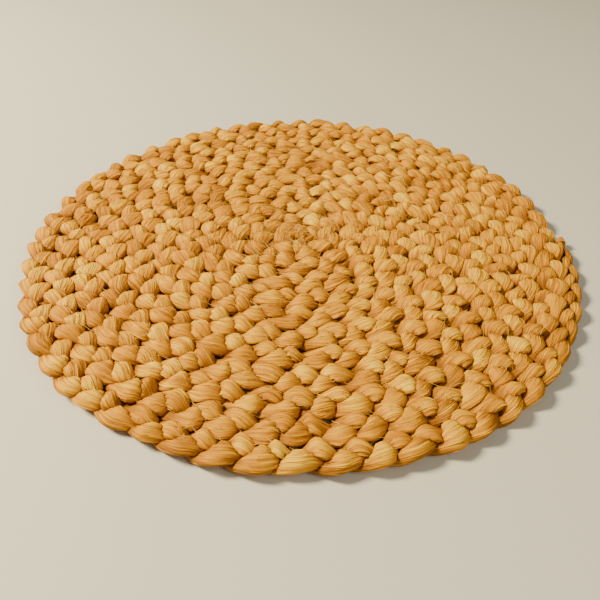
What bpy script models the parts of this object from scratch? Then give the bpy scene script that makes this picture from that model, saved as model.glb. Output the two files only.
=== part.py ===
"""A round seat pad: one flat plait of three plant-fibre strands, coiled in its own plane and sewn.

The pad lies on the plane z = 0, and its middle is at the origin. The coil is worked out in polar
coordinates. The groove outside the plait is a line whose radius grows by one turn pitch each turn,
and every strand, the sewing thread and the bindings take their places from that line.
"""

import bmesh
import bpy
import numpy as np

# Driving dimensions, in metres.
PAD_RADIUS = 0.200  # the middle of the coil to the rim, where the outer turn is widest
THICKNESS = 0.0105
TURN_PITCH = 0.0172  # the width of one plait and the gap beside it
STRAND_PERIOD = 0.060  # along the plait, from one place of a strand to the next like it
CORE_RADIUS = 0.0022  # what stays open in the middle, where the plait can't turn tighter
TURN_GAP = 0.0006  # between the plaits of two turns
STRAND_CLEARANCE = 0.00060  # between two strands where they cross, seen along the plait
PRESSED = 0.0006  # how deep the underside of a low strand is pressed flat
THREAD_DIAMETER = 0.0008
THREAD_LIFT = 0.0001  # the thread's underside above the plane that the pad rests on
BINDING_WALL = 0.0006
BINDING_GAP = 0.0004
TAIL_WIDTH_SHARE = 0.30  # the bound ends of the plait, as shares of its full width and height
TAIL_HEIGHT_SHARE = 0.55
END_TAPER = 0.190  # along the outer turn, from full width down to the bound end
END_BINDING = 0.008  # the length that keeps the tails' size at the outer end
BARE_END = 0.0015  # of that length, what the binding leaves bare at each side

# Driving angles, in degrees. They grow counterclockwise, seen from above.
START_BINDING = 60.0  # the turn that keeps the tails' size at the start
BARE_START = 7.0  # of that turn, what the binding leaves bare at each side
START_TAPER = 230.0  # from the first binding to the full width
END_PLACE = 0.0  # where the outer end of the plait lies, from +X
RING_ANGLE = 11.25  # between the rings of a strand, in its own phase, where the coil is tight
THREAD_START = 30.0  # the sewing starts this far after the first binding
THREAD_STOP = 12.0  # and it stops this far before the end of the innermost groove beside the rim

# Colours, as linear RGB.
FIBRE_COLOURS = ((0.62, 0.36, 0.11), (0.57, 0.32, 0.09), (0.66, 0.40, 0.14))
TWINE_COLOUR = (0.50, 0.35, 0.17)
FIBRE_ROUGHNESS = 0.55
TWINE_ROUGHNESS = 0.80

STRANDS = 3
THREAD_SAG = 0.00022  # the most that a straight piece of the thread's tube is off its curve
BINDING_RINGS = 5
LENGTH_STEPS = 40001  # for working out lengths along the coil
CORNER = 4  # a path has its first corner this many RING_ANGLEs on, and another each 8
# Up to each radius, one ring in so many is kept.
RING_EVERY = ((0.009, 1), (0.020, 2), (0.045, 4), (np.inf, 8))

# A strand's centre line goes through the corners of a lying 8: EDGE_REACH to each side of the
# plait's middle and RISE above and below it. Its section is a lozenge. Two strands are never
# nearer than four thirds of EDGE_REACH sideways or four thirds of RISE up, along a lozenge's side.
CROSSING = 4.0 / 3.0
EDGE_REACH = (TURN_PITCH - TURN_GAP) / (2.0 + CROSSING)
RISE = (THICKNESS + PRESSED) / (2.0 + CROSSING)
ROOM = CROSSING * EDGE_REACH * RISE / np.hypot(EDGE_REACH, RISE)
SLIMMER = 1.0 - STRAND_CLEARANCE / ROOM
HALF_WIDTH = 0.5 * CROSSING * EDGE_REACH * SLIMMER
HALF_HEIGHT = 0.5 * CROSSING * RISE * SLIMMER
EDGE_REACH += 0.5 * CROSSING * EDGE_REACH - HALF_WIDTH
RISE += 0.5 * CROSSING * RISE - HALF_HEIGHT
MIDDLE = RISE + HALF_HEIGHT - PRESSED  # the height of the plait's middle

TAIL_ROOM = TAIL_WIDTH_SHARE * (EDGE_REACH + HALF_WIDTH) + BINDING_WALL + 2.0 * BINDING_GAP
FIRST_GROOVE = CORE_RADIUS + 0.5 * TURN_PITCH  # the groove's radius at angle 0
GROWTH = TURN_PITCH / (2.0 * np.pi)  # of the groove's radius, for each radian

START = -np.radians(START_BINDING)
FULL_FROM = np.radians(START_TAPER)
FULL_TO = (PAD_RADIUS - FIRST_GROOVE) / GROWTH
END = FULL_TO + END_TAPER / (PAD_RADIUS - 0.5 * TURN_PITCH)
TURNED = np.radians(END_PLACE) - END  # turns the whole coil, so that it ends at END_PLACE


def groove(angle):
    """The radius of the groove outside the plait."""
    return FIRST_GROOVE + GROWTH * angle


def fullness(angle):
    """0 in the bindings, 1 where the plait has its full size, and straight between them."""
    opening = angle / FULL_FROM
    closing = (END - END_BINDING / PAD_RADIUS - angle) / (END - FULL_TO)
    return np.clip(np.minimum(opening, closing), 0.0, 1.0)


def middle_radius(angle):
    """The radius of the plait's middle. A taper keeps to the side that has a neighbour: the
    outer side at the start of the coil, and the inner side at its end."""
    half = TAIL_ROOM + (0.5 * TURN_PITCH - TAIL_ROOM) * fullness(angle)
    outer = groove(angle)
    return np.where(angle < 0.5 * END, outer - half, outer - TURN_PITCH + half)


def wave(phase):
    """A triangle wave between -1 and 1, with the period and the zeros of a sine."""
    return np.arcsin(np.sin(phase)) * 2.0 / np.pi


def places(angle, across, up):
    """Points at angles of the coil, across metres outside the plait's middle and at a height."""
    radius = middle_radius(angle) + across
    turned = angle + TURNED
    return np.stack([radius * np.cos(turned), radius * np.sin(turned), up + 0.0 * radius], -1)


def along_plait():
    """Angles, and the length of the plait's middle line up to each of them."""
    angle = np.linspace(START, END, LENGTH_STEPS)
    line = places(angle, 0.0, 0.0)
    steps = np.linalg.norm(np.diff(line, axis=0), axis=1)
    return angle, np.concatenate([[0.0], np.cumsum(steps)])


def stations(shift):
    """The angles at which a strand has a ring, and its phase there. A ring lies at every corner
    of the strand's path, and between them where the coil is tight."""
    angle, length = along_plait()
    phase = 2.0 * np.pi * length / STRAND_PERIOD + shift
    step = np.radians(RING_ANGLE)
    count = np.arange(np.ceil(phase[0] / step), np.floor(phase[-1] / step) + 1)
    at = np.interp(count * step, phase, angle)
    radius = middle_radius(at)
    keep = np.zeros(len(at), bool)
    inside = 0.0
    for limit, every in RING_EVERY:
        keep |= (radius >= inside) & (radius < limit) & ((count - CORNER) % every == 0)
        inside = limit
    at, phases = at[keep], count[keep] * step
    tight = 0.3 * step
    inner = (phases > phase[0] + tight) & (phases < phase[-1] - tight)
    at = np.concatenate([[START], at[inner], [END]])
    return at, np.interp(at, angle, phase)


def tube(name, rings, material):
    """A closed solid through rings of points, rings x points x 3, with a flat cap at each end."""
    count, sides = rings.shape[:2]
    index = np.arange(count * sides).reshape(count, sides)
    after = np.roll(index, -1, axis=1)
    walls = np.stack([index[:-1], index[1:], after[1:], after[:-1]], -1).reshape(-1, 4)
    faces = walls.tolist() + [index[0].tolist(), index[-1, ::-1].tolist()]
    mesh = bpy.data.meshes.new(name)
    mesh.from_pydata(rings.reshape(-1, 3).tolist(), [], faces)
    return add_piece(name, mesh, material)


def add_piece(name, mesh, material):
    """Puts a mesh in the scene as a named piece, with its faces pointing outwards."""
    bm = bmesh.new()
    bm.from_mesh(mesh)
    bmesh.ops.recalc_face_normals(bm, faces=bm.faces)
    bm.to_mesh(mesh)
    bm.free()
    mesh.materials.append(material)
    piece = bpy.data.objects.new(name, mesh)
    bpy.context.collection.objects.link(piece)
    return piece


def press_flat(piece):
    """Cuts off what a strand has below z = 0 and closes the cuts with flat faces."""
    bm = bmesh.new()
    bm.from_mesh(piece.data)
    everything = bm.verts[:] + bm.edges[:] + bm.faces[:]
    bmesh.ops.bisect_plane(
        bm, geom=everything, plane_co=(0, 0, 0), plane_no=(0, 0, -1), clear_outer=True
    )
    open_edges = [edge for edge in bm.edges if edge.is_boundary]
    bmesh.ops.holes_fill(bm, edges=open_edges, sides=0)
    bmesh.ops.triangulate(bm, faces=bm.faces)
    bmesh.ops.recalc_face_normals(bm, faces=bm.faces)
    bm.to_mesh(piece.data)
    bm.free()


def make_strand(number, material):
    """One strand: a lozenge tube that runs from edge to edge of the plait, over one neighbour
    and under the other. The three strands follow each other a third of a period apart."""
    angle, phase = stations(2.0 * np.pi * number / STRANDS)
    share = fullness(angle)
    wide = TAIL_WIDTH_SHARE + (1.0 - TAIL_WIDTH_SHARE) * share
    high = TAIL_HEIGHT_SHARE + (1.0 - TAIL_HEIGHT_SHARE) * share
    across = EDGE_REACH * np.clip(2.0 * wave(phase), -1.0, 1.0)
    up = -RISE * wave(2.0 * phase)
    lozenge = ((HALF_WIDTH, 0.0), (0.0, HALF_HEIGHT), (-HALF_WIDTH, 0.0), (0.0, -HALF_HEIGHT))
    corners = [
        places(angle, wide * (across + dx), MIDDLE + high * (up + dz)) for dx, dz in lozenge
    ]
    strand = tube(f"strand_{number + 1}", np.stack(corners, axis=1), material)
    press_flat(strand)
    return strand


def make_sewing_thread(material):
    """The thread that joins each turn to the next: it lies in the groove between them, near the
    underside, where it can't be seen or felt."""
    first = START + np.radians(START_BINDING + THREAD_START)
    last = END - 2.0 * np.pi - np.radians(THREAD_STOP)
    # Steps grow with the square root of the radius, so that each has the same sag. Then the power
    # 1.5 of the radius grows evenly from step to step.
    low, high = groove(first) ** 1.5, groove(last) ** 1.5
    count = int((high - low) / (1.5 * GROWTH * (8.0 * THREAD_SAG) ** 0.5))
    radius = np.linspace(low, high, count) ** (1.0 / 1.5)
    angle = (radius - FIRST_GROOVE) / GROWTH
    half = 0.5 * THREAD_DIAMETER
    up = half + THREAD_LIFT
    rings = []
    for dx, dz in ((half, 0.0), (0.0, half), (-half, 0.0), (0.0, -half)):
        rings.append(places(angle, groove(angle) - middle_radius(angle) + dx, up + dz))
    return tube("sewing_thread", np.stack(rings, axis=1), material)


def make_binding(name, first, last, material):
    """Twine wound round the three tails where the plait starts or ends, as one plain sleeve."""
    angle = np.linspace(first, last, BINDING_RINGS)
    inner = TAIL_WIDTH_SHARE * (EDGE_REACH + HALF_WIDTH) + BINDING_GAP
    inner_up = TAIL_HEIGHT_SHARE * (RISE + HALF_HEIGHT) + BINDING_GAP
    loops = []
    for wall, stretch in ((0.0, angle), (BINDING_WALL, angle[::-1])):
        x, z = inner + wall, inner_up + wall
        outline = ((x, z), (-x, z), (-x, -z), (x, -z))
        corners = [places(stretch, dx, MIDDLE + dz) for dx, dz in outline]
        loops.append(np.stack(corners, axis=1))
    rings = np.concatenate(loops)
    index = np.arange(rings.shape[0] * 4).reshape(-1, 4)
    following = np.roll(index, -1, axis=0)
    walls = np.stack([index, following, np.roll(following, -1, 1), np.roll(index, -1, 1)], -1)
    mesh = bpy.data.meshes.new(name)
    mesh.from_pydata(rings.reshape(-1, 3).tolist(), [], walls.reshape(-1, 4).tolist())
    return add_piece(name, mesh, material)


def make_material(name, colour, roughness):
    material = bpy.data.materials.new(name)
    material.use_nodes = True
    shader = material.node_tree.nodes["Principled BSDF"]
    shader.inputs["Base Color"].default_value = (*colour, 1.0)
    shader.inputs["Roughness"].default_value = roughness
    shader.inputs["Metallic"].default_value = 0.0
    material.diffuse_color = (*colour, 1.0)
    return material


def centre_over_origin(pieces):
    """Moves the whole pad so that the middle of its outline lies on the Z axis."""
    points = np.concatenate([[tuple(v.co) for v in piece.data.vertices] for piece in pieces])
    middle = 0.5 * (points.min(axis=0) + points.max(axis=0))
    for piece in pieces:
        for vertex in piece.data.vertices:
            vertex.co.x -= middle[0]
            vertex.co.y -= middle[1]


def build():
    for item in list(bpy.data.objects):
        bpy.data.objects.remove(item)
    twine = make_material("sewing_twine", TWINE_COLOUR, TWINE_ROUGHNESS)
    pieces = []
    for number, colour in enumerate(FIBRE_COLOURS):
        fibre = make_material(f"plait_fibre_{number + 1}", colour, FIBRE_ROUGHNESS)
        pieces.append(make_strand(number, fibre))
    pieces.append(make_sewing_thread(twine))
    bare = np.radians(BARE_START)
    pieces.append(make_binding("start_binding", START + bare, -bare, twine))
    last = END - BARE_END / PAD_RADIUS
    first = END - (END_BINDING - BARE_END) / PAD_RADIUS
    pieces.append(make_binding("end_binding", first, last, twine))
    centre_over_origin(pieces)


build()
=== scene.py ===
import bpy
import numpy as np
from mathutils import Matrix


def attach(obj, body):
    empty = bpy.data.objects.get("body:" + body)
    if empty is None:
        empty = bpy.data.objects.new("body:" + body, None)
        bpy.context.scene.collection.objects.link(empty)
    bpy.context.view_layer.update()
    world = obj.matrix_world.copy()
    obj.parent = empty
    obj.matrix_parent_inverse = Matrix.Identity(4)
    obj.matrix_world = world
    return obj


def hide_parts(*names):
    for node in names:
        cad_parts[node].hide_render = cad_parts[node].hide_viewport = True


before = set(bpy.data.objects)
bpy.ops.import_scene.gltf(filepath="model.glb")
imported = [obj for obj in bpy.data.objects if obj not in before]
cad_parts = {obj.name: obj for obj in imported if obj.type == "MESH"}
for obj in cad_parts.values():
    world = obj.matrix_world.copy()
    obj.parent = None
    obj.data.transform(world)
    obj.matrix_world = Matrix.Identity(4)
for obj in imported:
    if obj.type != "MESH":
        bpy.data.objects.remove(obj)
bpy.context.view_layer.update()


# ------------------------------------------------------------------ the plait's three strands
# A strand is a loose bundle of dry stalk fibre, as thick as a finger. Three are plaited flat, each
# over one neighbour and under the other, and the plait is coiled in its own plane and sewn. The
# bundles are soft, so they press against each other and fill the coil with hardly a gap.

TURN_PITCH = 0.0172  # from one turn of the coil to the next
PAD_RADIUS = 0.200
STRAND_PERIOD = 0.060  # along the plait, from one place of a strand to the next like it
CORE_RADIUS = 0.0022
COIL_MIDDLE = (0.0004823, 0.0043092)  # the spiral's own centre, in the row frame
END_TAPER = 0.190
END_BINDING = 0.008
END_PLACE = 0.0
START_BINDING = 60.0
START_TAPER = 230.0
TAIL_WIDTH_SHARE, TAIL_HEIGHT_SHARE = 0.30, 0.55
TAIL_ROOM = 0.00386  # from a bound tail's middle to the groove beside it
MIDDLE = 0.0050  # the height of the plait's middle
TAIL_SINKS = 0.0008  # so that the binding at the rim touches what the pad lies on
REACH = 0.00425  # a strand's centre line, from the plait's middle to each side
RISE = 0.00265  # and above and below it
LEAD = 0.45  # how much sooner, in radians, a strand is high than it is half way in
HALF_WIDTH = 0.0062
HALF_HEIGHT = 0.00315
CHANNEL_DEPTH = 0.0014  # the sewing draws the bundles in, at the underside of each groove
CHANNEL_HALF_WIDTH = 0.0019
STRANDS = 3
SIDES = 32
RINGS_A_PERIOD = 23
EXTRA_RINGS_NEAR = 0.016  # inside about this radius the rings stand closer together

# How much chance varies a strand: radians along, metres across and up, shares of its size, and
# the radians of its tilt.
VARIES_ALONG, VARIES_ACROSS, VARIES_UP = 0.25, 0.00058, 0.00042
VARIES_WIDE, VARIES_HIGH, VARIES_TILT = 0.11, 0.09, 0.09
HEAD_AT = 1.30 * np.pi  # where, in twice its phase, a strand is blunt and fattest
PETAL_TILT = 0.26
SOFT_MINIMUM = 12.0  # the power: the higher, the sharper the creases between bundles

FIRST_GROOVE = CORE_RADIUS + 0.5 * TURN_PITCH
GROWTH = TURN_PITCH / (2.0 * np.pi)
START = -np.radians(START_BINDING)
FULL_FROM = np.radians(START_TAPER)
FULL_TO = (PAD_RADIUS - FIRST_GROOVE) / GROWTH
END = FULL_TO + END_TAPER / (PAD_RADIUS - 0.5 * TURN_PITCH)
TURNED = np.radians(END_PLACE) - END


def groove(angle):
    """The radius of the groove outside the plait: it grows by one pitch in each turn."""
    return FIRST_GROOVE + GROWTH * angle


def fullness(angle):
    """0 where the tails are bound, 1 where the plait has its full size, straight between."""
    opening = angle / FULL_FROM
    closing = (END - END_BINDING / PAD_RADIUS - angle) / (END - FULL_TO)
    return np.clip(np.minimum(opening, closing), 0.0, 1.0)


def middle_radius(angle):
    """The plait's middle: half a width inside the groove, or outside the last turn's groove in
    the second half of the coil."""
    half = TAIL_ROOM + (0.5 * TURN_PITCH - TAIL_ROOM) * fullness(angle)
    outer = groove(angle)
    return np.where(angle < 0.5 * END, outer - half, outer - TURN_PITCH + half)


def middle_height(angle):
    """The plait's middle rests at one height, and sinks a little where the last turn gets thin."""
    return MIDDLE - TAIL_SINKS * (1.0 - fullness(angle)) * (angle > 0.5 * END)


def place(angle, radius, up):
    """Points at an angle of the coil, a radius from its centre and a height."""
    turned = angle + TURNED
    x = COIL_MIDDLE[0] + radius * np.cos(turned)
    y = COIL_MIDDLE[1] + radius * np.sin(turned)
    return np.stack([x, y, up + 0.0 * x], -1)


coil_angle = np.linspace(START - 0.1, END + 0.1, 60001)
coil_line = place(coil_angle, middle_radius(coil_angle), 0.0)
coil_length = np.concatenate([[0.0], np.cumsum(np.linalg.norm(np.diff(coil_line, axis=0), axis=1))])
coil_length -= np.interp(START, coil_angle, coil_length)

dice = np.random.default_rng(20)
PLACES = 520
KINDS = ("across", "up", "along", "wide", "high", "roll", "tone", "warmth")
whims = {kind: np.clip(dice.normal(size=(STRANDS, PLACES)), -2.0, 2.0) for kind in KINDS}


def whim(kind, number, phase):
    """A chance value for each quarter of a strand's period, that is for each petal and for each
    stretch below, blended smoothly from one to the next."""
    spot = (phase - 0.25 * np.pi) / (0.5 * np.pi) + 8.0
    low = np.clip(np.floor(spot).astype(int), 0, PLACES - 2)
    part = np.clip(spot - low, 0.0, 1.0)
    part = part * part * (3.0 - 2.0 * part)
    row = whims[kind][number]
    return row[low] * (1.0 - part) + row[low + 1] * part


def strand_phase(number, angle):
    periods = np.interp(angle, coil_angle, coil_length) / STRAND_PERIOD
    return 2.0 * np.pi * (periods + number / STRANDS)


def strand_centre(number, angle):
    """Where a strand's centre crosses the upright plane at an angle of the coil, its half width
    and half height there, and its phase. Seen along the plait, the centre draws a lying 8 with
    flattened tops. Each petal has a blunt head and a narrower tail."""
    phase = strand_phase(number, angle)
    share = fullness(angle)
    wide = TAIL_WIDTH_SHARE + (1.0 - TAIL_WIDTH_SHARE) * share
    high = TAIL_HEIGHT_SHARE + (1.0 - TAIL_HEIGHT_SHARE) * share
    swing = phase + VARIES_ALONG * share * whim("along", number, phase)
    across = REACH * np.sin(swing) + VARIES_ACROSS * share * whim("across", number, phase)
    level = np.sin(2.0 * swing + LEAD)
    up = -RISE * level * (1.2 - 0.2 * level**2) + VARIES_UP * share * whim("up", number, phase)
    head = np.cos(2.0 * swing - HEAD_AT)
    half_wide = HALF_WIDTH * (0.85 + 0.15 * head)
    half_high = HALF_HEIGHT * (0.94 + 0.08 * head)
    half_wide = half_wide * (1.0 + VARIES_WIDE * share * whim("wide", number, phase))
    half_high = half_high * (1.0 + VARIES_HIGH * share * whim("high", number, phase))
    radius = middle_radius(angle) + wide * across
    gone = (angle < START - 1e-6) | (angle > END + 1e-6)
    return (
        np.where(gone, 9.0, radius),
        middle_height(angle) + high * up,
        wide * half_wide,
        high * half_high,
        swing,
    )


def strand_rings(number):
    """One strand as rings of points, one ring in each upright plane. On each ray from the centre
    the surface lies at the bundle's own ellipse, or nearer, where the ray meets a neighbour's
    pressure line, the line between two centres where both ellipses are equally far off. The
    soft minimum of all these rounds the creases. Where another turn is near, the lower half of
    a bundle spreads towards it."""
    low, high = np.interp([START, END], coil_angle, coil_length)
    fine = np.linspace(low, high, 20001)
    radius = middle_radius(np.interp(fine, coil_length, coil_angle))
    density = 1.0 + np.clip(EXTRA_RINGS_NEAR / radius, 0.0, 2.2)
    count = np.concatenate([[0.0], np.cumsum(density[1:] * np.diff(fine))])
    rings = int(RINGS_A_PERIOD * count[-1] / STRAND_PERIOD)
    length = np.interp(np.linspace(0.0, count[-1], rings), count, fine)
    angle = np.interp(length, coil_length, coil_angle)[:, None]
    r, z, a, b, swing = strand_centre(number, angle)
    phase = strand_phase(number, angle)

    around = np.linspace(0.0, 2.0 * np.pi, SIDES, endpoint=False)[None, :] - 0.5 * np.pi
    out, rise = a * np.cos(around), b * np.sin(around)
    ridge = 0.042 * np.cos(6.0 * around + 0.7 * phase + 1.5 * whim("roll", number, phase))
    ridge = ridge + 0.026 * np.cos(9.0 * around - 1.3 * phase)
    out, rise = out * (1.0 + ridge), rise * (1.0 + ridge)
    tilt = -PETAL_TILT * np.sin(swing) * -np.sin(2.0 * swing)
    tilt = tilt + VARIES_TILT * whim("roll", number, phase)
    dx = out * np.cos(tilt) - rise * np.sin(tilt)
    dz = out * np.sin(tilt) + rise * np.cos(tilt)
    free = np.hypot(dx, dz)
    dx, dz = dx / free, dz / free
    slack = np.clip(0.75 - 1.5 * dz, 0.0, 1.0)

    total = 0.0
    nearest = np.full(free.shape, 9.0)
    beside = nearest
    for other in range(STRANDS):
        for turn in (-1, 0, 1):
            if other == number and turn == 0:
                continue
            r2, z2, a2, b2, _ = strand_centre(other, angle + 2.0 * np.pi * turn)
            am, bm = 0.5 * (a + a2), 0.5 * (b + b2)
            apart = ((r2 - r) / am) ** 2 + ((z2 - z) / bm) ** 2
            apart = apart + 0.5 * (a / am) ** 2 - 0.5 * (a2 / am) ** 2
            along = dx * (r2 - r) / am**2 + dz * (z2 - z) / bm**2
            meet = np.clip(apart, 0.25, None) / (2.0 * np.clip(along, 1e-6, None))
            meet = np.clip(0.99 * meet, 0.0006, 9.0)
            total = total + meet**-SOFT_MINIMUM
            nearest = np.minimum(nearest, meet)
            if turn:
                beside = np.minimum(beside, meet)
    near = np.clip((2.2 - beside / free) / 0.8, 0.0, 1.0)
    spread = free * (1.0 + 0.55 * slack * near)
    reach = (total + spread**-SOFT_MINIMUM) ** (-1.0 / SOFT_MINIMUM)
    reach = np.where(nearest < spread, np.maximum(reach, 0.90 * nearest), reach)
    # How far a neighbour presses into the bundle. This and the hollow below become the mask of
    # painted shade in the material.
    pressed = np.clip(1.0 - nearest / free, 0.0, 1.0)
    # Painted shade in hollows: points low down and near a neighbour are marked to darken as if
    # shaded.
    low_down = np.clip((0.0088 - z - reach * dz) / 0.0045, 0.0, 1.0)
    hollow_shade = low_down * np.clip((2.2 - nearest / free) / 0.9, 0.0, 1.0)

    radius = np.maximum(r + reach * dx, 0.0004)
    from_groove = (radius - groove(angle) + 0.5 * TURN_PITCH) % TURN_PITCH - 0.5 * TURN_PITCH
    channel = CHANNEL_DEPTH * (1.0 - (from_groove / CHANNEL_HALF_WIDTH) ** 2)
    sewn = (radius < groove(END - 2.0 * np.pi) + 0.002) & (radius > groove(0.0) - 0.002)
    up = np.maximum(z + reach * dz, np.where(sewn, np.maximum(channel, 0.0), 0.0))
    points = place(angle, radius, up)
    grain = 0.0040  # the radius at which the pattern of fibres is read
    twist = around + 0.05 * phase
    fibre = np.stack(
        [
            np.broadcast_to(length[:, None] + 7.3 * number, radius.shape),
            grain * np.cos(twist),
            grain * np.sin(twist),
        ],
        -1,
    )
    tone = np.broadcast_to(whim("tone", number, phase), radius.shape)
    warmth = np.broadcast_to(whim("warmth", number, phase), radius.shape)
    # The mask of painted crease shade also takes in the low hollows.
    pressed = np.maximum(pressed, 0.26 * hollow_shade)
    return points, {"fibre": fibre, "tone": tone, "warmth": warmth, "pressed": pressed}


def put_mesh(name, points, face_sets, smooth=True, **values):
    """A new piece from points and arrays of faces, each array with its own number of corners,
    and one attribute for each named value: one number or three for each point."""
    mesh = bpy.data.meshes.new(name)
    points = np.asarray(points, np.float32).reshape(-1, 3)
    face_sets = [np.asarray(faces, np.int32) for faces in face_sets]
    sizes = np.concatenate([np.full(len(faces), faces.shape[1]) for faces in face_sets])
    mesh.vertices.add(len(points))
    mesh.vertices.foreach_set("co", points.ravel())
    mesh.loops.add(int(sizes.sum()))
    mesh.loops.foreach_set("vertex_index", np.concatenate([f.ravel() for f in face_sets]))
    mesh.polygons.add(len(sizes))
    mesh.polygons.foreach_set("loop_start", (np.cumsum(sizes) - sizes).astype(np.int32))
    mesh.update(calc_edges=True)
    mesh.polygons.foreach_set("use_smooth", np.full(len(sizes), smooth))
    for key, value in values.items():
        value = np.asarray(value, np.float32).reshape(len(points), -1)
        kind, field = ("FLOAT_VECTOR", "vector") if value.shape[1] == 3 else ("FLOAT", "value")
        mesh.attributes.new(key, kind, "POINT").data.foreach_set(field, value.ravel())
    mesh.validate()
    piece = bpy.data.objects.new(name, mesh)
    bpy.context.collection.objects.link(piece)
    return piece


def tube_faces(tubes, rings, sides, closed=False):
    """Faces of like tubes, each of so many rings: quads from ring to ring, and one flat face at
    each end, or, on a closed loop, quads from the last ring to the first. They face out where a
    ring turns clockwise, seen from the tube's far end."""
    index = np.arange(tubes * rings * sides).reshape(tubes, rings, sides)
    here = index if closed else index[:, :-1]
    onward = np.roll(index, -1, axis=1) if closed else index[:, 1:]
    walls = np.stack([here, onward, np.roll(onward, -1, axis=2), np.roll(here, -1, axis=2)], -1)
    ends = [] if closed else [index[:, 0], index[:, -1, ::-1]]
    return [walls.reshape(-1, 4), *ends]


class Wire:
    """A node's output. Arithmetic on it adds Math nodes to its material."""

    def __init__(self, finish, socket):
        self.finish, self.socket = finish, socket

    def math(self, operation, first, second):
        return self.finish.node("Math", {0: first, 1: second}, operation=operation)

    def __add__(self, other):
        return self.math("ADD", self, other)

    def __sub__(self, other):
        return self.math("SUBTRACT", self, other)

    def __rsub__(self, other):
        return self.math("SUBTRACT", other, self)

    def __mul__(self, other):
        return self.math("MULTIPLY", self, other)

    __radd__, __rmul__ = __add__, __mul__


class Finish:
    """A procedural material. node() adds any node: its settings by name, a ramp's stops, then
    the values or links of its sockets."""

    def __init__(self, name, **constants):
        self.material = bpy.data.materials.new(name)
        self.material.use_nodes = True
        self.tree = self.material.node_tree
        self.shader = self.tree.nodes["Principled BSDF"]
        for key, value in constants.items():
            self.shader.inputs[key.replace("_", " ")].default_value = value

    def node(self, kind, sockets=(), output=0, stops=None, **settings):
        made = self.tree.nodes.new("ShaderNode" + kind)
        for key, value in settings.items():
            setattr(made, key, value)
        if stops:
            while len(made.color_ramp.elements) < len(stops):
                made.color_ramp.elements.new(0.5)
            for element, (spot, colour) in zip(made.color_ramp.elements, stops):
                element.position, element.color = spot, (*colour, 1.0)
        for key, value in dict(sockets).items():
            self.put(made.inputs[key], value)
        return Wire(self, made.outputs[output])

    def put(self, socket, value):
        if isinstance(value, Wire):
            self.tree.links.new(value.socket, socket)
        else:
            socket.default_value = value

    def noise(self, vector, stretch, detail=2.0, roughness=0.5):
        """Noise of size 1 on a vector stretched by three factors."""
        spread = self.node("VectorMath", {0: vector, 1: stretch}, operation="MULTIPLY")
        sockets = {"Vector": spread, "Scale": 1.0, "Detail": detail, "Roughness": roughness}
        return self.node("TexNoise", sockets)

    def mix(self, factor, first, second, how="MIX"):
        sockets = {0: factor, 6: first, 7: second}
        return self.node("Mix", sockets, output=2, data_type="RGBA", blend_type=how)

    def wear(self, **links):
        for key, value in links.items():
            self.put(self.shader.inputs[key.replace("_", " ")], value)
        return self.material


def fibre_finish(name, lift):
    """Dry stalk fibre: ribbons and hairs that run along the bundle, golden, paler on the ribs,
    with painted light on the tops, painted shade lower down and in the creases and hollows, and a
    satin shine."""
    finish = Finish(name, Specular_IOR_Level=0.15)
    fibre = finish.node("Attribute", output="Vector", attribute_name="fibre")
    tone = finish.node("Attribute", output="Fac", attribute_name="tone")
    warmth = finish.node("Attribute", output="Fac", attribute_name="warmth")
    pressed = finish.node("Attribute", output="Fac", attribute_name="pressed")
    spot = finish.node("TexCoord", output="Object")
    ribbon = finish.noise(fibre, (34.0, 760.0, 760.0), 2.0)
    hair = finish.noise(fibre, (80.0, 1900.0, 1900.0), 2.0, 0.6)
    patch = finish.noise(spot, (26.0, 26.0, 60.0), 2.0)
    height_up = finish.node("SeparateXYZ", {0: spot}, output="Z")
    # Painted light and shade by height: the petals' tops are paler and points lower down are
    # darker, standing in for how the light falls on them.
    painted_height_light = finish.node(
        "MapRange",
        {0: height_up, 1: 0.0056, 2: 0.0106, 3: -0.30, 4: 0.06},
        interpolation_type="SMOOTHSTEP",
    )
    level = 0.5 + lift + painted_height_light + 0.15 * tone + 1.15 * (ribbon - 0.5)
    level = level + 1.1 * (hair - 0.5) + 0.4 * (patch - 0.5)
    golden = finish.node(
        "ValToRGB",
        {0: level},
        stops=[
            (0.08, (0.19, 0.055, 0.003)),
            (0.36, (0.50, 0.200, 0.008)),
            (0.60, (0.74, 0.350, 0.008)),
            (0.92, (1.00, 0.700, 0.045)),
        ],
    )
    warm = finish.mix(0.36 + 0.10 * warmth, golden, (0.69, 0.290, 0.008, 1.0))
    # Painted shade: pressed creases and low hollows are mixed towards a dark red-brown, standing in
    # for the shade that falls in them.
    crease_shade = finish.node(
        "MapRange", {0: pressed, 1: 0.0, 2: 0.36, 3: 0.0, 4: 0.85}, interpolation_type="SMOOTHSTEP"
    )
    colour = finish.mix(crease_shade, warm, (0.205, 0.052, 0.003, 1.0))
    height = 0.62 * ribbon + 0.38 * hair
    relief = {"Strength": 1.0, "Distance": 0.0025, "Height": height}
    bump = finish.node("Bump", relief, output="Normal")
    return finish.wear(Base_Color=colour, Roughness=0.44 + 0.20 * hair, Normal=bump)


strand_grids = []
for number, lift in zip(range(STRANDS), (0.0, -0.02, 0.02)):
    points, values = strand_rings(number)
    strand_grids.append((points, values))
    faces = tube_faces(1, *points.shape[:2])
    strand = put_mesh(f"plait_strand_{number + 1}", points, faces, **values)
    strand.data.materials.append(fibre_finish(f"stalk_fibre_{number + 1}", lift))
    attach(strand, "root")
    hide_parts(f"strand_{number + 1}")


# ------------------------------------------------------------------ the ribs of the stalks
# Dry stalks split into ribs. On each bundle some of them stand out, as narrow raised ribbons that
# follow its curve over one petal and go down into it at both ends.

RIBS = 2400
RIB_RINGS = 8
RIB_HALF_WIDTH = 0.00040
RIB_SIDES = 4
RIB_LOWEST = 0.0050  # no rib starts lower on its bundle


def unit(vectors):
    return vectors / np.maximum(np.linalg.norm(vectors, axis=-1, keepdims=True), 1e-12)


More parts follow.
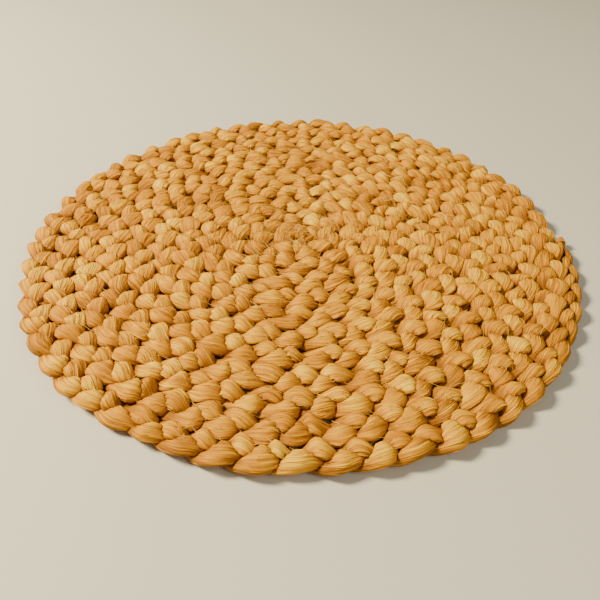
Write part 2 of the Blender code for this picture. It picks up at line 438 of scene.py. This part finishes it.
def cord_rings(path, upward, half_width, half_height, sides, lobes=0.0, turns=None):
    """Rings round many paths at once. Across a path stands a frame of its direction, a side
    crosswise to a given upward vector, and the third; the ring is an ellipse in it, which may
    have two lobes that turn on along the path, as a cord of two plies has."""
    direction = unit(np.gradient(path, axis=-2))
    side = unit(np.cross(direction, upward))
    third = np.cross(side, direction)
    around = np.linspace(0.0, 2.0 * np.pi, sides, endpoint=False)
    swell = 1.0
    if turns is not None:
        swell = 1.0 + lobes * np.cos(2.0 * around - 2.0 * turns[..., None])[..., None]
    wide = np.asarray(half_width)[..., None, None] * np.cos(around)[:, None] * swell
    high = np.asarray(half_height)[..., None, None] * np.sin(around)[:, None] * swell
    return path[..., None, :] + wide * side[..., None, :] + high * third[..., None, :]


def surface_spots(count, lowest, draw, weight):
    """Chance places on the strands' upper faces: strand, ring and side numbers, drawn by weight
    among the points that nothing presses on."""
    found, spots = [], []
    for number, (points, values) in enumerate(strand_grids):
        ok = (points[..., 2] > lowest) & (values["pressed"] < 0.02)
        ok[:12], ok[-12:] = False, False
        ring, side = np.nonzero(ok)
        found.append(np.stack([np.full(len(ring), number), ring, side], -1))
        spots.append(points[ring, side])
    found = np.concatenate(found)
    chance = weight(np.concatenate(spots))
    return found[draw.choice(len(found), count, replace=False, p=chance / chance.sum())]


rib_dice = np.random.default_rng(31)
ribs = surface_spots(RIBS, RIB_LOWEST, rib_dice, lambda at: 1.0 + 0.0 * at[:, 0])
steps = np.arange(RIB_RINGS) - RIB_RINGS // 2
paths, outs, rib_tone, rib_fibre = [], [], [], []
for number, (points, values) in enumerate(strand_grids):
    mine = ribs[ribs[:, 0] == number]
    ring, side = mine[:, 1, None] + steps, mine[:, 2, None] + 0 * steps
    along = points[np.minimum(ring + 1, len(points) - 1), side] - points[ring - 1, side]
    cross = points[ring, (side + 1) % SIDES] - points[ring, side - 1]
    paths.append(points[ring, side])
    outs.append(unit(np.cross(cross, along)))
    rib_tone.append(values["tone"][ring, side])
    rib_fibre.append(values["fibre"][ring, side])
paths, outs = np.concatenate(paths), np.concatenate(outs)
rise = 0.5 + 0.5 * np.cos(np.linspace(-np.pi, np.pi, RIB_RINGS))
size = RIB_HALF_WIDTH * rib_dice.uniform(0.6, 1.3, (len(paths), 1))
paths = paths + outs * (size * (1.1 * rise - 0.75))[..., None]
slim = 0.35 + 0.65 * rise
rings = cord_rings(paths, outs, size * slim, 0.8 * size * slim, RIB_SIDES)
tone = np.concatenate(rib_tone) + rib_dice.normal(0.0, 1.0, (len(paths), 1)) + 0.6
ribs_piece = put_mesh(
    "stalk_ribs",
    rings,
    tube_faces(len(paths), RIB_RINGS, RIB_SIDES),
    fibre=np.repeat(np.concatenate(rib_fibre)[:, :, None], RIB_SIDES, axis=2),
    tone=np.repeat(tone[:, :, None], RIB_SIDES, axis=2),
    warmth=np.zeros(rings.shape[:-1]),
    pressed=np.zeros(rings.shape[:-1]),
)
ribs_piece.data.materials.append(fibre_finish("stalk_rib", 0.06))
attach(ribs_piece, "root")


# ------------------------------------------------------------------ the loose fibres
# Hairs of fibre have worked loose all over, more in the middle and at the back, where the pad has
# been handled. Most lie along their bundle and lift a little at one end; some are long wisps.

HAIRS = 5500
WISPS = 320
HAIR_RINGS = 6
HAIR_SIDES = 3
HAIR_HALF_WIDTH = 0.00012
HAIR_LOWEST = 0.0065  # no hair starts lower on its bundle
HAIR_SINKS_TO = 0.0012
WISPS_WITHIN = 0.160
WISP_CEILING = 0.0105  # above it a wisp bends over, and gains at most WISP_GIVE
WISP_GIVE = 0.0045

hair_dice = np.random.default_rng(47)


def fuzzy(at):
    """More hairs near the middle, as a bell curve of the radius, and more in the far half."""
    out = np.hypot(at[:, 0], at[:, 1])
    return (0.6 + 1.6 * np.exp(-((out / 0.075) ** 2)) + 0.9 * (at[:, 1] > 0.0)) * (out < 0.186)


spots = surface_spots(HAIRS + WISPS, HAIR_LOWEST, hair_dice, fuzzy)
starts, ways, outs = [], [], []
for number, (points, _) in enumerate(strand_grids):
    mine = spots[spots[:, 0] == number]
    ring, side = mine[:, 1], mine[:, 2]
    along = points[ring + 1, side] - points[ring - 1, side]
    cross = points[ring, (side + 1) % SIDES] - points[ring, side - 1]
    starts.append(points[ring, side])
    ways.append(unit(along))
    outs.append(unit(np.cross(cross, along)))
starts, ways, outs = np.concatenate(starts), np.concatenate(ways), np.concatenate(outs)
total = len(starts)
order = hair_dice.permutation(total)
starts, ways, outs = starts[order], ways[order], outs[order]
long = (np.arange(total) < WISPS) & (np.hypot(starts[:, 0], starts[:, 1]) < WISPS_WITHIN)
wisp_reach = hair_dice.uniform(0.018, 0.040, total)
reach = np.where(long, wisp_reach, hair_dice.uniform(0.005, 0.017, total))
wisp_lift = hair_dice.uniform(0.001, 0.0045, total)
lift = np.where(long, wisp_lift, hair_dice.exponential(0.0009, total))
turn = hair_dice.normal(0.0, 0.45, total)
curl = hair_dice.normal(0.0, 0.30, total)
sign = hair_dice.choice((-1.0, 1.0), total)[:, None]
sides = np.cross(outs, ways)
ways = sign * (np.cos(turn)[:, None] * ways + np.sin(turn)[:, None] * sides)
sides = np.cross(outs, ways)
part = np.linspace(0.0, 1.0, HAIR_RINGS)[None, :, None]
ways, sides, outs = ways[:, None], sides[:, None], outs[:, None]
bow = lift[:, None, None] * np.sin(np.pi * part) ** 2 + 0.6 * lift[:, None, None] * part**2
paths = (
    starts[:, None]
    + reach[:, None, None] * (part - 0.25) * ways
    + (curl * reach)[:, None, None] * (part - 0.25) ** 2 * sides
    + (bow + 0.00012) * outs
)
above = np.maximum(paths[..., 2] - WISP_CEILING, 0.0)
bent = np.minimum(paths[..., 2], WISP_CEILING) + WISP_GIVE * np.tanh(above / WISP_GIVE)
paths[..., 2] = np.maximum(bent, HAIR_SINKS_TO)
thick = HAIR_HALF_WIDTH * np.where(long, 1.15, 1.0) * hair_dice.uniform(0.7, 1.3, total)
thick = thick[:, None] * np.minimum(1.0, 2.2 - 2.0 * part[..., 0])
rings = cord_rings(paths, outs, thick, thick, HAIR_SIDES)
hair = put_mesh(
    "loose_fibres",
    rings,
    tube_faces(total, HAIR_RINGS, HAIR_SIDES),
    shade=np.repeat(hair_dice.uniform(0.0, 1.0, total), HAIR_RINGS * HAIR_SIDES),
)
wool = Finish("loose_fibre", Roughness=0.6, Specular_IOR_Level=0.25)
shade = wool.node("Attribute", output="Fac", attribute_name="shade")
straw = wool.node(
    "ValToRGB",
    {0: shade},
    stops=[(0.0, (0.62, 0.28, 0.02)), (0.6, (0.86, 0.50, 0.08)), (1.0, (1.0, 0.70, 0.20))],
)
hair.data.materials.append(wool.wear(Base_Color=straw))
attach(hair, "root")


# ------------------------------------------------------------------ the sewing thread
# A waxed thread of two plies joins each turn to the next. It runs in the groove at the underside
# and goes to and fro between the two plaits, so that it can't be seen from above.

THREAD_HALF = 0.00042
THREAD_SIDES = 8
THREAD_LOBES = 0.16
THREAD_BEGINS = 30.0
THREAD_ENDS = 12.0
STITCH = 0.0075
PLY_TWIST = 0.0042
THREAD_STEP = 0.00085

first = np.radians(THREAD_BEGINS)
last = END - 2.0 * np.pi - np.radians(THREAD_ENDS)
fine = np.linspace(first, last, 20001)
line = place(fine, groove(fine), 0.0)
run = np.concatenate([[0.0], np.cumsum(np.linalg.norm(np.diff(line, axis=0), axis=1))])
length = np.linspace(0.0, run[-1], int(run[-1] / THREAD_STEP))
angle = np.interp(length, run, fine)
weave = np.sin(2.0 * np.pi * length / STITCH)
path = place(angle, groove(angle) + 0.00055 * weave, THREAD_HALF + 0.00005 + 0.00022 * weave**2)
half = np.full(len(path), THREAD_HALF)
turns = 2.0 * np.pi * length / PLY_TWIST
rings = cord_rings(path, (0.0, 0.0, 1.0), half, half, THREAD_SIDES, THREAD_LOBES, turns)
rings[..., 2] = np.maximum(rings[..., 2], 0.0)
thread = put_mesh("sewing_twine", rings, tube_faces(1, len(path), THREAD_SIDES))


def twine_finish(name):
    """Thin spun twine: straw brown and matt, with paler and darker hairs."""
    finish = Finish(name, Sheen_Weight=0.15, Sheen_Roughness=0.5)
    spot = finish.node("TexCoord", output="Object")
    speck = finish.noise(spot, (1500.0, 1500.0, 1500.0), 2.0)
    drift = finish.noise(spot, (60.0, 60.0, 60.0), 1.0)
    colour = finish.node(
        "ValToRGB",
        {0: 0.7 * speck + 0.3 * drift},
        stops=[
            (0.30, (0.34, 0.125, 0.008)),
            (0.55, (0.54, 0.235, 0.020)),
            (0.75, (0.74, 0.40, 0.055)),
        ],
    )
    relief = {"Strength": 0.7, "Distance": 0.0003, "Height": speck}
    bump = finish.node("Bump", relief, output="Normal")
    return finish.wear(Base_Color=colour, Roughness=0.62 + 0.2 * speck, Normal=bump)


twine = twine_finish("spun_twine")
thread.data.materials.append(twine)
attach(thread, "root")
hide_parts("sewing_thread")


# ------------------------------------------------------------------ the bound ends
# Where the plait starts, in the middle, and where it ends, at the rim, the three tails are bound
# with the same twine, wound round them side by side.

WRAP_HALF = 0.00042
WRAP_ACROSS = 0.00315
WRAP_UP = 0.00345
WRAP_POWER = 2.6  # of the oval: 2 is an ellipse, and higher is squarer
WRAP_SIDES = 8


def bound_end(name, begin, end, node):
    """A helix of twine round the plait: the wrapping angle grows evenly along the coil, on an
    oval whose corners are rounded, a superellipse."""
    mid = 0.5 * (begin + end)
    span = abs(end - begin) * middle_radius(mid)
    wraps = span / (2.1 * WRAP_HALF)
    part = np.linspace(0.0, 1.0, int(wraps * 40))
    turn = 2.0 * np.pi * wraps * part
    across = np.sign(np.cos(turn)) * np.abs(np.cos(turn)) ** (2.0 / WRAP_POWER)
    up = np.sign(np.sin(turn)) * np.abs(np.sin(turn)) ** (2.0 / WRAP_POWER)
    angle = begin + (end - begin) * part
    radius = middle_radius(angle)
    height = middle_height(angle)
    path = place(angle, radius + WRAP_ACROSS * across, height + WRAP_UP * up)
    away = unit(path - place(angle, radius, height))
    half = np.full(len(path), WRAP_HALF)
    turns = turn * WRAP_ACROSS / PLY_TWIST * 6.0
    rings = cord_rings(path, away, half, half, WRAP_SIDES, 0.14, turns)
    piece = put_mesh(name, rings, tube_faces(1, len(path), WRAP_SIDES))
    piece.data.materials.append(twine)
    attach(piece, "root")
    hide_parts(node)


bound_end("start_wrapping", START + np.radians(8.0), np.radians(-8.0), "start_binding")
bound_end("end_wrapping", END - 0.0062 / PAD_RADIUS, END - 0.0018 / PAD_RADIUS, "end_binding")


# ------------------------------------------------------------------ the knot in the middle
# The tails' ends are turned in and knotted, and the knot fills the coil's middle. Its path is a
# trefoil: a closed loop that passes over and under itself three times.

KNOT_SPREAD = 0.0030
KNOT_HEIGHT, KNOT_RISE = 0.0062, 0.0017
KNOT_HALF = 0.00165
KNOT_RINGS = 150
KNOT_SIDES = 20

turn = np.linspace(0.0, 2.0 * np.pi, KNOT_RINGS, endpoint=False)
knot = np.stack(
    [
        COIL_MIDDLE[0] + KNOT_SPREAD * (np.sin(turn) + 2.0 * np.sin(2.0 * turn)) / 2.6,
        COIL_MIDDLE[1] + KNOT_SPREAD * (np.cos(turn) - 2.0 * np.cos(2.0 * turn)) / 2.6,
        KNOT_HEIGHT - KNOT_RISE * np.sin(3.0 * turn),
    ],
    -1,
)
closed = np.concatenate([knot[-3:], knot, knot[:4]])
half = np.full(len(closed), KNOT_HALF)
outward = unit(closed - (COIL_MIDDLE[0], COIL_MIDDLE[1], -0.004))
rings = cord_rings(closed, outward, half, half, KNOT_SIDES)[3:-4]
around = np.linspace(0.0, 2.0 * np.pi, KNOT_SIDES, endpoint=False)[None, :] + 0.0 * rings[..., 0]
along = 0.0002 * np.arange(len(rings))[:, None] + 30.0 + 0.0 * around
knot_piece = put_mesh(
    "middle_knot",
    rings,
    tube_faces(1, len(rings), KNOT_SIDES, closed=True),
    fibre=np.stack([along, 0.004 * np.cos(around), 0.004 * np.sin(around)], -1),
    tone=0.0 * around,
    warmth=0.0 * around,
    pressed=0.0 * around,
)
knot_piece.data.materials.append(fibre_finish("knot_fibre", -0.02))
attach(knot_piece, "root")


# ------------------------------------------------------------------ the floor, the light, the eye
# A plain pale floor, a round soft lamp at the left, a larger and weaker one at the front right,
# a dim room, and the eye in front of the pad, well above it.

FLOOR_SIZE = 30.0
FLOOR_DROP = 0.0002  # below the pad's underside, so that the two faces don't coincide
square = np.array([(-1, -1, 0), (1, -1, 0), (1, 1, 0), (-1, 1, 0)])
floor = put_mesh(
    "floor",
    square * 0.5 * FLOOR_SIZE - (0, 0, FLOOR_DROP),
    [np.array([(0, 1, 2, 3)])],
    smooth=False,
)
paper = Finish("pale_floor", Base_Color=(0.62, 0.61, 0.59, 1.0), Roughness=0.7)
floor.data.materials.append(paper.material)


def soft_light(name, spot, radius, power, colour):
    """A round lamp at a spot, which shines all round, so the floor has no edge of light."""
    lamp = bpy.data.lights.new(name, "POINT")
    lamp.shadow_soft_size, lamp.energy, lamp.color = radius, power, colour
    thing = bpy.data.objects.new(name, lamp)
    bpy.context.collection.objects.link(thing)
    thing.location = spot
    thing.visible_camera = False


soft_light("key_light", (-1.02, 0.05, 1.00), 0.20, 208.0, (1.0, 0.86, 0.52))
soft_light("fill_light", (0.9, -0.7, 0.9), 0.45, 34.0, (1.0, 0.88, 0.62))

world = bpy.data.worlds.new("soft_room")
world.use_nodes = True
world.node_tree.nodes["Background"].inputs["Color"].default_value = (1.0, 0.91, 0.76, 1.0)
world.node_tree.nodes["Background"].inputs["Strength"].default_value = 0.19
bpy.context.scene.world = world

EYE_SPOT = (0.0, -0.3655, 0.2705)
EYE_TILT = 48.7
eye = bpy.data.cameras.new("eye")
eye.lens, eye.sensor_width = 37.0, 36.0
eye.clip_start, eye.clip_end = 0.01, 20.0
camera = bpy.data.objects.new("eye", eye)
bpy.context.collection.objects.link(camera)
camera.location = EYE_SPOT
camera.rotation_euler = (np.radians(EYE_TILT), 0.0, 0.0)
bpy.context.scene.camera = camera
